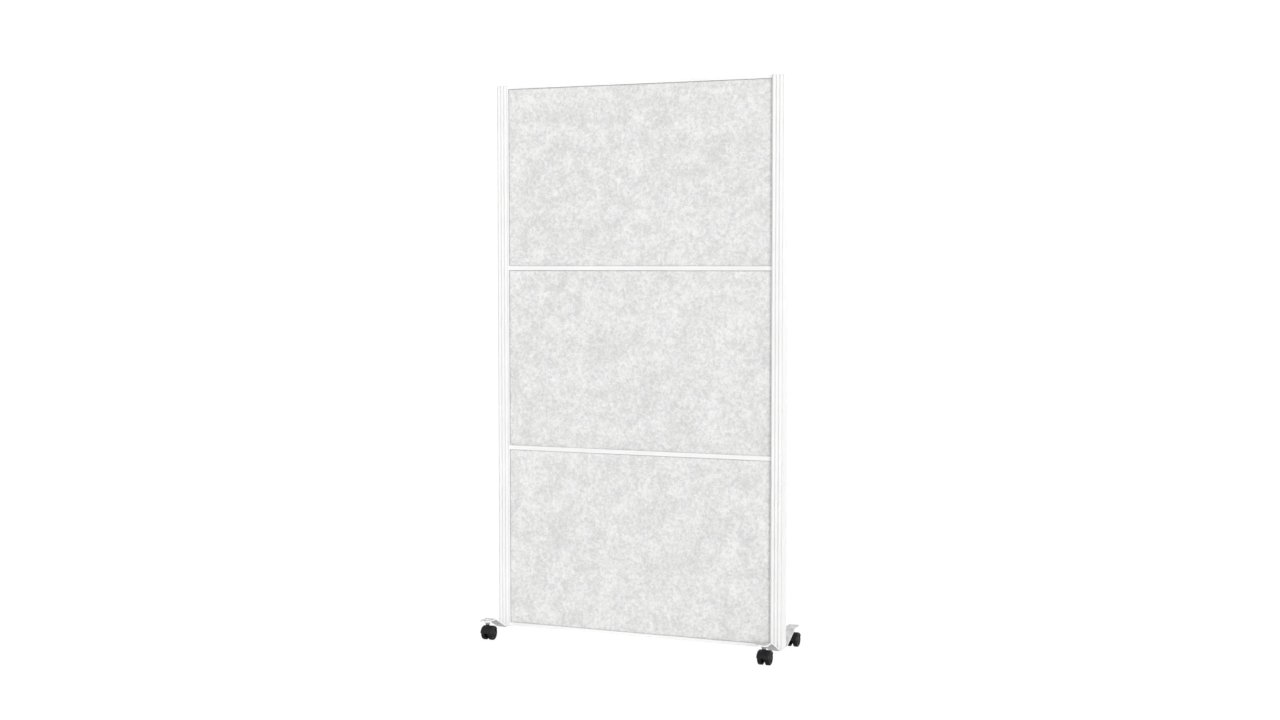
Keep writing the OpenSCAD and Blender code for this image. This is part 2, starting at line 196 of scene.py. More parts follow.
class PARTITION_PG_stage(bpy.types.PropertyGroup):
    """Floor, light and camera"""

    lens: bpy.props.FloatProperty(
        name="Lens", description="Focal length of the camera", unit="CAMERA", min=1, default=49.17,
    )
    camera_place: bpy.props.FloatVectorProperty(
        name="Camera place", description="Where the camera stands",
        subtype="TRANSLATION", unit="LENGTH", size=3, default=(2.1856, -5.2558, 1.2461),
    )
    camera_turn: bpy.props.FloatVectorProperty(
        name="Camera turn", description="How the camera is turned",
        subtype="EULER", unit="ROTATION", size=3, default=(math.radians(86.86), 0, math.radians(22.53)),
    )
    floor_colour: bpy.props.FloatVectorProperty(
        name="Floor colour", description="Colour of the studio floor",
        subtype="COLOR", size=3, min=0, max=1, default=(0.62, 0.62, 0.62),
    )
    floor_glow: bpy.props.FloatProperty(
        name="Floor glow", description="How much the lit floor hides the wall's shadow",
        subtype="FACTOR", min=0, max=1, default=0.76,
    )
    sky: bpy.props.FloatProperty(
        name="Sky", description="Strength of the even light from overhead", min=0, default=0.32,
    )
    horizon: bpy.props.FloatProperty(
        name="Horizon", description="Strength of the even light from the walls all round",
        min=0, default=1.35,
    )
    key: bpy.props.FloatProperty(
        name="Key", description="Strength of the soft light from the front right", min=0, default=2.0,
    )
    fill: bpy.props.FloatProperty(
        name="Fill", description="Strength of the soft light from behind the wall", min=0, default=0.9,
    )


class PARTITION_PG_wall(bpy.types.PropertyGroup):
    """Everything that a user may change"""

    coat: bpy.props.PointerProperty(type=PARTITION_PG_coat)
    plastic: bpy.props.PointerProperty(type=PARTITION_PG_plastic)
    felt: bpy.props.PointerProperty(type=PARTITION_PG_felt)
    wheel: bpy.props.PointerProperty(type=PARTITION_PG_wheel)
    stage: bpy.props.PointerProperty(type=PARTITION_PG_stage)


# ---- Shader building --------------------------------------------------------


def add(tree, kind, inputs=None, **settings):
    """A new node. Each input is set to a value or linked to an output socket."""
    node = tree.nodes.new(kind)
    for name, value in settings.items():
        setattr(node, name, value)
    for socket, value in (inputs or {}).items():
        if isinstance(value, bpy.types.NodeSocket):
            tree.links.new(value, node.inputs[socket])
        else:
            node.inputs[socket].default_value = value
    return node


def sum_of(tree, operation, *values, clamp=False):
    """The result of a Math node."""
    return add(
        tree, "ShaderNodeMath", dict(enumerate(values)), operation=operation, use_clamp=clamp
    ).outputs[0]


def spread(tree, value, low, high, to_low=0.0, to_high=1.0):
    """The value, with low and high moved to new ends and nothing past them."""
    return add(
        tree, "ShaderNodeMapRange",
        {"Value": value, "From Min": low, "From Max": high, "To Min": to_low, "To Max": to_high},
        interpolation_type="SMOOTHSTEP",
    ).outputs["Result"]


def blended(tree, factor, first, second, way="MIX"):
    """Two colours mixed by a factor."""
    node = add(tree, "ShaderNodeMix", data_type="RGBA", blend_type=way)
    for name, value in (("Factor_Float", factor), ("A_Color", first), ("B_Color", second)):
        socket = next(s for s in node.inputs if s.identifier == name)
        if isinstance(value, bpy.types.NodeSocket):
            tree.links.new(value, socket)
        else:
            socket.default_value = value
    return next(s for s in node.outputs if s.identifier == "Result_Color")


def noise(tree, place, scale, detail=2.0, roughness=0.5, distortion=0.0):
    """The value of a noise texture, about 0.5 in the middle."""
    return add(
        tree, "ShaderNodeTexNoise",
        {"Vector": place, "Scale": scale, "Detail": detail, "Roughness": roughness,
         "Distortion": distortion},
    ).outputs["Fac"]


def rgba(colour, shade=1.0):
    """A colour property as four numbers, made lighter or darker."""
    return (*(min(1.0, c * shade) for c in colour), 1.0)


def effect_group(name, inputs, outputs):
    """An empty node group with named sockets, and its input and output nodes."""
    group = bpy.data.node_groups.new(name, "ShaderNodeTree")
    for socket, kind, value in inputs:
        made = group.interface.new_socket(name=socket, in_out="INPUT", socket_type=kind)
        if value is not None:
            made.default_value = value
    for socket, kind in outputs:
        group.interface.new_socket(name=socket, in_out="OUTPUT", socket_type=kind)
    return group, group.nodes.new("NodeGroupInput"), group.nodes.new("NodeGroupOutput")


FLOAT, VECTOR = "NodeSocketFloat", "NodeSocketVector"


def edge_wear_group():
    """Where handling rubs an edge: the place's normal against the same normal with the edge rounded."""
    group, given, result = effect_group(
        "Edge Wear",
        [("Position", VECTOR, None), ("Width", FLOAT, 0.8 * MM), ("Broken", FLOAT, 0.5)],
        [("Mask", FLOAT)],
    )
    position, width, broken = (given.outputs[s] for s in ("Position", "Width", "Broken"))
    rounded = add(group, "ShaderNodeBevel", {"Radius": width}, samples=4).outputs["Normal"]
    flat = add(group, "ShaderNodeNewGeometry").outputs["True Normal"]
    facing = add(group, "ShaderNodeVectorMath", {0: rounded, 1: flat}, operation="DOT_PRODUCT")
    edge = spread(group, facing.outputs["Value"], 0.99, 0.8)
    patches = spread(group, noise(group, position, 90.0, 4.0), 0.42, 0.62)
    kept = sum_of(group, "SUBTRACT", 1.0, sum_of(group, "MULTIPLY", broken, patches))
    group.links.new(sum_of(group, "MULTIPLY", edge, kept, clamp=True), result.inputs["Mask"])
    return group


def powder_peel_group():
    """Orange peel of a powder coat: low waves with finer grain on them."""
    group, given, result = effect_group(
        "Powder Peel",
        [("Position", VECTOR, None), ("Size", FLOAT, 1.6 * MM), ("Roughness", FLOAT, 0.4)],
        [("Height", FLOAT), ("Roughness", FLOAT)],
    )
    position, size, roughness = (given.outputs[s] for s in ("Position", "Size", "Roughness"))
    scale = sum_of(group, "DIVIDE", 1.0, size)
    waves = noise(group, position, scale, 1.5)
    grain = noise(group, position, sum_of(group, "MULTIPLY", scale, 4.0), 2.0)
    height = sum_of(group, "MULTIPLY_ADD", grain, 0.25, waves)
    handled = noise(group, position, 14.0, 3.0)
    varied = sum_of(group, "MULTIPLY_ADD", sum_of(group, "SUBTRACT", handled, 0.5), 0.22, roughness)
    group.links.new(height, result.inputs["Height"])
    group.links.new(sum_of(group, "MAXIMUM", varied, 0.08), result.inputs["Roughness"])
    return group


def dust_and_top_shade_group():
    """Fine dust on faces that look up, thicker in patches; laid on thickly, as on the feet, it is
    painted shade on their top faces.
    """
    group, given, result = effect_group(
        "Dust And Top Shade",
        [("Position", VECTOR, None), ("Amount", FLOAT, 0.3)],
        [("Mask", FLOAT)],
    )
    position, amount = given.outputs["Position"], given.outputs["Amount"]
    normal = add(group, "ShaderNodeNewGeometry").outputs["Normal"]
    up = add(group, "ShaderNodeSeparateXYZ", {"Vector": normal}).outputs["Z"]
    lying = spread(group, up, 0.15, 0.95)
    patches = spread(group, noise(group, position, 60.0, 5.0, 0.6), 0.3, 0.75, 0.35, 1.0)
    specks = spread(group, noise(group, position, 1500.0, 1.0), 0.62, 0.72)
    thick = sum_of(group, "MULTIPLY_ADD", specks, 0.35, patches)
    dust = sum_of(group, "MULTIPLY", sum_of(group, "MULTIPLY", lying, thick), amount, clamp=True)
    group.links.new(dust, result.inputs["Mask"])
    return group


def moulded_grain_group():
    """The fine pitted grain of an eroded mould."""
    group, given, result = effect_group(
        "Moulded Grain",
        [("Position", VECTOR, None), ("Size", FLOAT, 0.5 * MM), ("Roughness", FLOAT, 0.4)],
        [("Height", FLOAT), ("Roughness", FLOAT), ("Cloud", FLOAT)],
    )
    position, size, roughness = (given.outputs[s] for s in ("Position", "Size", "Roughness"))
    scale = sum_of(group, "DIVIDE", 1.0, size)
    pits = add(
        group, "ShaderNodeTexVoronoi", {"Vector": position, "Scale": scale}, feature="SMOOTH_F1"
    ).outputs["Distance"]
    fine = noise(group, position, sum_of(group, "MULTIPLY", scale, 1.7), 3.0)
    height = sum_of(group, "MULTIPLY_ADD", fine, 0.6, pits)
    cloud = noise(group, position, 35.0, 3.0)
    varied = sum_of(group, "MULTIPLY_ADD", sum_of(group, "SUBTRACT", cloud, 0.5), 0.3, roughness)
    group.links.new(height, result.inputs["Height"])
    group.links.new(sum_of(group, "MAXIMUM", varied, 0.08), result.inputs["Roughness"])
    group.links.new(cloud, result.inputs["Cloud"])
    return group


def fibre_mat_group():
    """Short crossed fibres of a felt or a pulp board, in three directions."""
    group, given, result = effect_group(
        "Fibre Mat",
        [("Position", VECTOR, None), ("Width", FLOAT, 0.5 * MM), ("Length", FLOAT, 8 * MM)],
        [("Light", FLOAT), ("Dark", FLOAT), ("Height", FLOAT)],
    )
    position, width, length = (given.outputs[s] for s in ("Position", "Width", "Length"))
    across = sum_of(group, "DIVIDE", 1.0, width)
    along = sum_of(group, "DIVIDE", 1.0, length)
    stretch = add(group, "ShaderNodeCombineXYZ", {0: along, 1: across, 2: across}).outputs[0]
    curl = add(
        group, "ShaderNodeTexNoise", {"Vector": position, "Scale": 160.0, "Detail": 1.0}
    ).outputs["Color"]
    bent = add(
        group, "ShaderNodeVectorMath", {0: curl, 1: (0.004, 0.004, 0.004), 2: position},
        operation="MULTIPLY_ADD",
    ).outputs[0]
    layers = []
    for turn in (14, 76, 139):
        turned = add(
            group, "ShaderNodeVectorRotate", {"Vector": bent, "Angle": math.radians(turn)},
            rotation_type="Y_AXIS",
        ).outputs[0]
        drawn = add(group, "ShaderNodeVectorMath", {0: turned, 1: stretch}, operation="MULTIPLY")
        layers.append(noise(group, drawn.outputs[0], 1.0, 2.0, 0.6))
    top = sum_of(group, "MAXIMUM", sum_of(group, "MAXIMUM", layers[0], layers[1]), layers[2])
    low = sum_of(group, "MINIMUM", sum_of(group, "MINIMUM", layers[0], layers[1]), layers[2])
    group.links.new(spread(group, top, 0.56, 0.74), result.inputs["Light"])
    group.links.new(spread(group, low, 0.42, 0.27), result.inputs["Dark"])
    group.links.new(sum_of(group, "SUBTRACT", top, low), result.inputs["Height"])
    return group


def drawn_metal_group():
    """Fine lines and cloudy tarnish on bare steel."""
    group, given, result = effect_group(
        "Drawn Metal",
        [("Position", VECTOR, None), ("Pitch", FLOAT, 0.3 * MM), ("Roughness", FLOAT, 0.3)],
        [("Height", FLOAT), ("Roughness", FLOAT), ("Tarnish", FLOAT)],
    )
    position, pitch, roughness = (given.outputs[s] for s in ("Position", "Pitch", "Roughness"))
    scale = sum_of(group, "DIVIDE", 1.0, pitch)
    squeezed = add(
        group, "ShaderNodeVectorMath", {0: position, 1: (0.08, 0.08, 1.0)}, operation="MULTIPLY"
    ).outputs[0]
    lines = noise(group, squeezed, scale, 2.0)
    tarnish = noise(group, position, 180.0, 4.0, 0.6)
    varied = sum_of(group, "MULTIPLY_ADD", sum_of(group, "SUBTRACT", tarnish, 0.5), 0.35, roughness)
    group.links.new(lines, result.inputs["Height"])
    group.links.new(sum_of(group, "MAXIMUM", varied, 0.1), result.inputs["Roughness"])
    group.links.new(tarnish, result.inputs["Tarnish"])
    return group


GROUP_MAKERS = {
    "Edge Wear": edge_wear_group,
    "Powder Peel": powder_peel_group,
    "Dust And Top Shade": dust_and_top_shade_group,
    "Moulded Grain": moulded_grain_group,
    "Fibre Mat": fibre_mat_group,
    "Drawn Metal": drawn_metal_group,
}


def effect(tree, name, **inputs):
    """An effect group placed in a material, with its own values."""
    group = bpy.data.node_groups.get(name) or GROUP_MAKERS[name]()
    node = add(tree, "ShaderNodeGroup", node_tree=group)
    for socket, value in inputs.items():
        if isinstance(value, bpy.types.NodeSocket):
            tree.links.new(value, node.inputs[socket])
        else:
            node.inputs[socket].default_value = value
    return node.outputs


def new_material(name):
    """An empty material: its node tree, its Principled shader and the object's own coordinates."""
    material = bpy.data.materials.new(name)
    material.use_nodes = True
    tree = material.node_tree
    tree.nodes.clear()
    shader = add(tree, "ShaderNodeBsdfPrincipled")
    add(tree, "ShaderNodeOutputMaterial", {"Surface": shader.outputs[0]})
    return material, tree, shader, add(tree, "ShaderNodeTexCoord").outputs["Object"]


def bumped(tree, shader, height, depth, edge_radius=None):
    """Bumps of that depth on the shader's normal, over edges rounded to that radius."""
    bump = add(tree, "ShaderNodeBump", {"Height": height, "Distance": depth, "Strength": 1.0})
    if edge_radius is not None:
        soft = add(tree, "ShaderNodeBevel", {"Radius": edge_radius}, samples=4)
        tree.links.new(soft.outputs["Normal"], bump.inputs["Normal"])
    tree.links.new(bump.outputs["Normal"], shader.inputs["Normal"])


# ---- Materials --------------------------------------------------------------


def flute_shade(tree, position, face, depth):
    """How deep a place lies in the flutes of a face at that distance from the wall's centre plane; this
    mask places the painted shade in the flutes.
    """
    across = add(tree, "ShaderNodeSeparateXYZ", {"Vector": position}).outputs["Y"]
    sunk = sum_of(tree, "SUBTRACT", face, sum_of(tree, "ABSOLUTE", across))
    deep = spread(tree, sunk, 0.2 * depth, 0.95 * depth)
    shallow = spread(tree, sunk, 1.4 * depth, 1.1 * depth)
    patches = spread(tree, noise(tree, position, 25.0, 4.0), 0.3, 0.7, 0.75, 1.0)
    return sum_of(tree, "MULTIPLY", sum_of(tree, "MULTIPLY", deep, shallow), patches)


def powder_coat(name, coat, wear, dust, flutes=None):
    """White powder coat: orange peel, thinner over the edges, with dust that makes it matt; the grey
    laid in the flutes and on the feet's top faces is painted shade.
    """
    material, tree, shader, position = new_material(name)
    peel = effect(
        tree, "Powder Peel", Position=position, Size=coat.peel_size, Roughness=coat.roughness
    )
    edges = effect(tree, "Edge Wear", Position=position, Width=1.1 * MM, Broken=0.6)
    dust_and_top_shade = effect(tree, "Dust And Top Shade", Position=position, Amount=dust)
    handled = spread(tree, noise(tree, position, 7.0, 4.0), 0.35, 0.7)
    clean = blended(tree, handled, rgba(coat.colour, 1.01), rgba(coat.colour, 0.975))
    thin = sum_of(tree, "MULTIPLY", edges["Mask"], wear)
    worn = blended(tree, thin, clean, rgba(coat.colour, 0.72))
    # Grey on faces that look up: light dust on the posts and rails, painted shade on the feet's top
    # faces at their high amount.
    dusted_and_shaded = blended(tree, dust_and_top_shade["Mask"], worn, GREY_DUST_AND_SHADE)
    if flutes:
        # Painted shade in the posts' flutes.
        painted_flute_shade = sum_of(tree, "MULTIPLY", flute_shade(tree, position, *flutes), coat.flute_shade)
        dusted_and_shaded = blended(tree, painted_flute_shade, dusted_and_shaded, FLUTE_SHADE)
    tree.links.new(dusted_and_shaded, shader.inputs["Base Color"])
    matt = sum_of(tree, "MULTIPLY_ADD", dust_and_top_shade["Mask"], 0.6, peel["Roughness"], clamp=True)
    tree.links.new(matt, shader.inputs["Roughness"])
    shader.inputs["Specular IOR Level"].default_value = coat.gloss
    bumped(tree, shader, peel["Height"], 0.05 * MM, coat.edge_radius)
    return material


def trim_plastic(name, plastic):
    """White moulded plastic with a fine matt grain."""
    material, tree, shader, position = new_material(name)
    grain = effect(
        tree, "Moulded Grain", Position=position, Size=plastic.grain_size, Roughness=0.45
    )
    dust_and_top_shade = effect(tree, "Dust And Top Shade", Position=position, Amount=0.12)
    base = blended(
        tree, grain["Cloud"], rgba(plastic.trim_colour, 1.02), rgba(plastic.trim_colour, 0.97)
    )
    dusted_and_shaded = blended(tree, dust_and_top_shade["Mask"], base, TRIM_DUST)
    tree.links.new(dusted_and_shaded, shader.inputs["Base Color"])
    tree.links.new(grain["Roughness"], shader.inputs["Roughness"])
    bumped(tree, shader, grain["Height"], 0.03 * MM, 0.35 * MM)
    return material


def black_nylon(name, plastic, roughness, wear, dust):
    """Black moulded nylon: a dull sheen, rubbed edges and some floor dust."""
    material, tree, shader, position = new_material(name)
    grain = effect(
        tree, "Moulded Grain", Position=position, Size=plastic.grain_size, Roughness=roughness
    )
    edges = effect(tree, "Edge Wear", Position=position, Width=0.9 * MM, Broken=0.8)
    dust_and_top_shade = effect(tree, "Dust And Top Shade", Position=position, Amount=dust)
    base = blended(
        tree, grain["Cloud"], rgba(plastic.nylon_colour, 0.8), rgba(plastic.nylon_colour, 1.5)
    )
    rubbed = sum_of(tree, "MULTIPLY", edges["Mask"], wear)
    worn = blended(tree, rubbed, base, NYLON_RUBBED)
    dusted_and_shaded = blended(tree, dust_and_top_shade["Mask"], worn, NYLON_DUST)
    tree.links.new(dusted_and_shaded, shader.inputs["Base Color"])
    tree.links.new(grain["Roughness"], shader.inputs["Roughness"])
    shader.inputs["Specular IOR Level"].default_value = 0.22
    bumped(tree, shader, grain["Height"], 0.05 * MM, 0.5 * MM)
    return material


def bare_steel(name, tint, roughness):
    """Zinc-plated steel with fine drawn lines."""
    material, tree, shader, position = new_material(name)
    metal = effect(tree, "Drawn Metal", Position=position, Pitch=0.35 * MM, Roughness=roughness)
    edges = effect(tree, "Edge Wear", Position=position, Width=0.5 * MM, Broken=0.4)
    base = blended(tree, metal["Tarnish"], rgba(tint, 1.12), rgba(tint, 0.78))
    worn = blended(tree, edges["Mask"], base, rgba(tint, 1.25))
    tree.links.new(worn, shader.inputs["Base Color"])
    tree.links.new(metal["Roughness"], shader.inputs["Roughness"])
    shader.inputs["Metallic"].default_value = 1.0
    bumped(tree, shader, metal["Height"], 0.02 * MM, 0.25 * MM)
    return material


def felt_material(felt):
    """Mottled felt: warm and cool clouds, tufts a few millimetres wide, and crossed fibres."""
    material, tree, shader, position = new_material("felt_grey_melange")
    fibres = effect(tree, "Fibre Mat", Position=position, Width=0.55 * MM, Length=9 * MM)
    tufts = noise(tree, position, 98.0, 4.0, 0.72, 0.6)
    clouds = noise(tree, position, 17.0, 3.0, 0.55)
    tint = noise(tree, position, 24.0, 2.0, 0.5, 0.4)
    shade = sum_of(tree, "MULTIPLY_ADD", sum_of(tree, "SUBTRACT", clouds, 0.5), 0.4, tufts)
    mix = spread(tree, shade, 0.27, 0.75)
    body = blended(tree, mix, rgba(felt.grey_colour), rgba(felt.light_colour))
    warm = blended(tree, spread(tree, tint, 0.38, 0.62), (1.0, 0.999, 0.985, 1), (0.992, 0.992, 1.0, 1))
    tinted = blended(tree, 1.0, body, warm, "MULTIPLY")
    light = sum_of(tree, "MULTIPLY", fibres["Light"], 0.5)
    dark = sum_of(tree, "MULTIPLY", fibres["Dark"], 0.45)
    lit = blended(tree, light, tinted, rgba(felt.light_colour, 1.1))
    fleck = blended(tree, dark, lit, rgba(felt.grey_colour, 0.72))
    # Painted shade along the lips round the seen felt, where the rails and posts shade it, mixed in by
    # the edge_shade amount.
    painted_edge_shade = add(tree, "ShaderNodeAttribute", attribute_name="painted_edge_shade").outputs["Fac"]
    edge_shade_share = sum_of(tree, "MULTIPLY", sum_of(tree, "POWER", painted_edge_shade, 1.6), felt.edge_shade)
    edged = blended(tree, edge_shade_share, fleck, rgba(felt.grey_colour, 0.6))
    tree.links.new(edged, shader.inputs["Base Color"])
    rough = spread(tree, tufts, 0.3, 0.7, 0.86, 0.98)
    tree.links.new(rough, shader.inputs["Roughness"])
    shader.inputs["Specular IOR Level"].default_value = 0.25
    shader.inputs["Sheen Weight"].default_value = 0.15
    shader.inputs["Sheen Roughness"].default_value = 0.6
    height = sum_of(tree, "MULTIPLY_ADD", tufts, 2.2, fibres["Height"])
    bumped(tree, shader, height, 0.22 * MM)
    return material


def board_material():
    """Brown pulp board of the panels' cores."""
    material, tree, shader, position = new_material("core_pulp_board")
    fibres = effect(tree, "Fibre Mat", Position=position, Width=0.8 * MM, Length=5 * MM)
    clouds = noise(tree, position, 40.0, 4.0, 0.6)
    body = blended(tree, clouds, (0.36, 0.25, 0.15, 1), (0.5, 0.37, 0.23, 1))
    lit = blended(tree, sum_of(tree, "MULTIPLY", fibres["Light"], 0.5), body, (0.62, 0.5, 0.34, 1))
    fleck = blended(tree, sum_of(tree, "MULTIPLY", fibres["Dark"], 0.5), lit, (0.2, 0.13, 0.08, 1))
    tree.links.new(fleck, shader.inputs["Base Color"])
    tree.links.new(spread(tree, clouds, 0.3, 0.7, 0.8, 0.95), shader.inputs["Roughness"])
    bumped(tree, shader, fibres["Height"], 0.1 * MM)
    return material


def paint(nodes, material):
    """Gives CAD nodes a material, shape and place untouched."""
    for name in nodes:
        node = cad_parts[name]
        if not node.material_slots:
            node.data.materials.append(material)
        for material_slot in node.material_slots:
            material_slot.material = material


# ---- Felts ------------------------------------------------------------------


PINCH_STEPS = np.array([-1.5, 0, 0.8, 1.8, 3, 4.5, 6.5, 9]) * MM


def face_lines(low, high, seen_low, seen_high, radius, step):
    """Places of the mesh lines across a face: close at the cut edges and at the lips, even between."""
    rounding = np.array([radius * (1 - math.cos(math.radians(a))) for a in (0, 22.5, 45, 67.5, 90)])
    first, last = seen_low + PINCH_STEPS, seen_high - PINCH_STEPS[::-1]
    count = max(2, round((last[0] - first[-1]) / step))
    inner = np.linspace(first[-1], last[0], count + 1)[1:-1]
    return np.concatenate([low + rounding, first, inner, last, high - rounding[::-1]])


def soft_waves(x, z, seed):
    """Low waves of a felt that was rolled and cut, from -1 to 1."""
    rng = np.random.default_rng(seed)
    total = np.zeros_like(x)
    for _ in range(14):
        length = rng.uniform(0.05, 0.3)
        angle, phase = rng.uniform(0, 2 * math.pi, 2)
        total += np.sin(2 * math.pi * (x * math.cos(angle) + z * math.sin(angle)) / length + phase)
    return total / 14


def felt_sheet(name, low, high, seen_low, seen_high, outward, felt, seed):
    """One felt, flat on its glued back: its face sinks in along the lips round the part that is
    seen, swells out between them and is rounded at the cut edges."""
    radius = felt.edge_radius
    rise_width, sink_width, shade_width = 28 * MM, 9 * MM, 6 * MM
    xs = face_lines(low.x, high.x, seen_low.x, seen_high.x, radius, felt.mesh_step)
    zs = face_lines(low.z, high.z, seen_low.z, seen_high.z, radius, felt.mesh_step)
    x, z = np.meshgrid(xs, zs, indexing="ij")
    inset = np.minimum(np.minimum(x - low.x, high.x - x), np.minimum(z - low.z, high.z - z))
    edge = np.clip(radius - inset, 0, radius)
    drop = radius - np.sqrt(np.maximum(radius ** 2 - edge ** 2, 0))
    clear = np.minimum(
        np.minimum(x - seen_low.x, seen_high.x - x), np.minimum(z - seen_low.z, seen_high.z - z)
    )
    rise = np.clip(clear / rise_width, 0, 1)
    rise = rise * rise * (3 - 2 * rise)
    sink = 1 - np.sqrt(np.clip(clear / sink_width, 0, 1))
    swell = felt.crown * rise * (1 + 0.3 * soft_waves(x, z, seed)) - felt.pinch * sink
    face = high.y if outward > 0 else low.y
    back = low.y if outward > 0 else high.y
    y = face + outward * (swell - drop)
    nx, nz = x.shape
    points = np.stack([x, y, z], axis=-1).reshape(-1, 3)
    index = np.arange(nx * nz).reshape(nx, nz)
    quads = np.stack(
        [index[:-1, :-1], index[1:, :-1], index[1:, 1:], index[:-1, 1:]], axis=-1
    ).reshape(-1, 4).tolist()
    rim = np.concatenate([index[:-1, 0], index[-1, :-1], index[:0:-1, -1], index[0, :0:-1]])
    rim_back = points[rim].copy()
    rim_back[:, 1] = back
    first = len(points)
    count = len(rim)
    points = np.concatenate([points, rim_back])
    behind = first + np.arange(count)
    for i in range(count):
        j = (i + 1) % count
        quads.append([int(rim[j]), int(rim[i]), int(behind[i]), int(behind[j])])
    quads.append(behind[::-1].tolist())
    if outward > 0:
        quads = [q[::-1] for q in quads]
    mesh = bpy.data.meshes.new(name)
    mesh.from_pydata(points.tolist(), [], quads)
    mesh.polygons.foreach_set("use_smooth", [len(q) == 4 for q in quads])
    mesh.update()
    # Mask for the painted shade along the lips: 1 at the lips, fading out over shade_width.
    painted_edge_shade = np.ones(len(points), dtype=np.float32)
    painted_edge_shade[:nx * nz] = np.clip(1 - clear.ravel() / shade_width, 0, 1)
    mesh.attributes.new("painted_edge_shade", "FLOAT", "POINT").data.foreach_set("value", painted_edge_shade)
    piece = bpy.data.objects.new(name, mesh)
    bpy.context.scene.collection.objects.link(piece)
    return piece


# ---- Castor wheels ----------------------------------------------------------


def wheel_section(radius, width, bore, wheel):
    """Half section of a wheel, (radius, distance from its inner face, share of a pocket)."""
    hub, rim, disc = bore + 4 * MM, radius - 5 * MM, 4 * MM
    tread_round, inner_round = 4 * MM, 2 * MM
    dish = rim - 1.5 * MM
    line = wheel.tread_line
    middle = (inner_round + width - tread_round) / 2

    def bend(centre_r, centre_w, size, start, end, steps=6):
        angles = [math.radians(start + (end - start) * i / steps) for i in range(steps + 1)]
        return [(centre_r + size * math.cos(a), centre_w + size * math.sin(a), 0) for a in angles]

    return [
        (bore, width - 3 * MM, 0), (bore, 0.4 * MM, 0), (bore + 0.4 * MM, 0, 0),
        (hub - 0.4 * MM, 0, 0), (hub, 0.4 * MM, 0),
        (hub, width - disc - 1 * MM, 0), (hub + 1 * MM, width - disc, 0),
        (rim - 1 * MM, width - disc, 0), (rim, width - disc - 1 * MM, 0),
        (rim, 0.6 * MM, 0), (rim + 0.6 * MM, 0, 0),
        *bend(radius - inner_round, inner_round, inner_round, -90, 0),
        (radius, middle - 0.5 * MM, 0), (radius - line, middle, 0), (radius, middle + 0.5 * MM, 0),
        *bend(radius - tread_round, width - tread_round, tread_round, 0, 90, 8),
        (dish + 0.6 * MM, width, 0), (dish, width - 0.6 * MM, 0), (dish - 0.3 * MM, width - 1 * MM, 0),
        (dish - 1.2 * MM, width - 1 * MM, 0), (dish - 1.8 * MM, width - 1 * MM, 1),
        (hub + 1.8 * MM, width - 1 * MM, 1), (hub + 1.2 * MM, width - 1 * MM, 0),
        (hub, width - 1 * MM, 0), (hub - 0.3 * MM, width - 0.6 * MM, 0),
        (hub - 0.9 * MM, width - 0.4 * MM, 0), (hub / 2, width - 0.25 * MM, 0),
    ]


def wheel_mesh(radius, width, bore, wheel):
    """A wheel turned about X, its outer face towards +X, with pockets between its spokes."""
    section = wheel_section(radius, width, bore, wheel)
    per_spoke, half_spoke = 16, 3
    turns = wheel.spokes * per_spoke
    points = []
    for k in range(turns):
        angle = 2 * math.pi * k / turns
        in_spoke = k % per_spoke
        pocket = 1.0 if half_spoke <= in_spoke <= per_spoke - half_spoke else 0.0
        for r, across, share in section:
            depth = wheel.pocket_depth * pocket * share
            points.append((across - depth - width / 2, r * math.cos(angle), r * math.sin(angle)))
    n = len(section)
    faces = []
    for k in range(turns):
        after = (k + 1) % turns
        for i in range(n - 1):
            faces.append((k * n + i, k * n + i + 1, after * n + i + 1, after * n + i))
    faces.append(tuple(k * n for k in range(turns)))
    faces.append(tuple(k * n + n - 1 for k in reversed(range(turns))))
    mesh = bpy.data.meshes.new("castor_wheel")
    mesh.from_pydata(points, [], faces)
    mesh.update()
    mesh.polygons.foreach_set("use_smooth", [True] * len(faces))
    mesh.set_sharp_from_angle(angle=math.radians(35))
    return mesh


# ---- Operators --------------------------------------------------------------


class PARTITION_OT_frame(bpy.types.Operator):
    """Coat the posts and rails"""

    bl_idname = "partition.frame"
    bl_label = "Posts and rails"

    def execute(self, context):
        coat = context.scene.partition_wall.coat
        flutes = (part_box("left_post")[1].y, FLUTE_DEPTH)
        post_coat = powder_coat("post_powder_white", coat, wear=0.25, dust=0.05, flutes=flutes)
        paint(POSTS, post_coat)
        paint(RAILS, powder_coat("rail_powder_white", coat, wear=0.25, dust=0.05))
        return {"FINISHED"}


class PARTITION_OT_feet(bpy.types.Operator):
    """Coat the bent foot plates"""

    bl_idname = "partition.feet"
    bl_label = "Feet"

    def execute(self, context):
        coat = context.scene.partition_wall.coat
        # The high dust amount paints shade onto the feet's top faces.
        material = powder_coat("foot_powder_white", coat, wear=0.4, dust=0.7)
        paint([f"{end}_foot" for end in ENDS], material)
        return {"FINISHED"}


class PARTITION_OT_trim(bpy.types.Operator):
    """Finish the post caps and the cover strips"""

    bl_idname = "partition.trim"
    bl_label = "Caps and cover strips"

    def execute(self, context):
        plastic = context.scene.partition_wall.plastic
        paint([f"{end}_post_cap" for end in ENDS], trim_plastic("cap_plastic_white", plastic))
        paint([f"{end}_cover_strip" for end in ENDS], trim_plastic("strip_plastic_white", plastic))
        return {"FINISHED"}


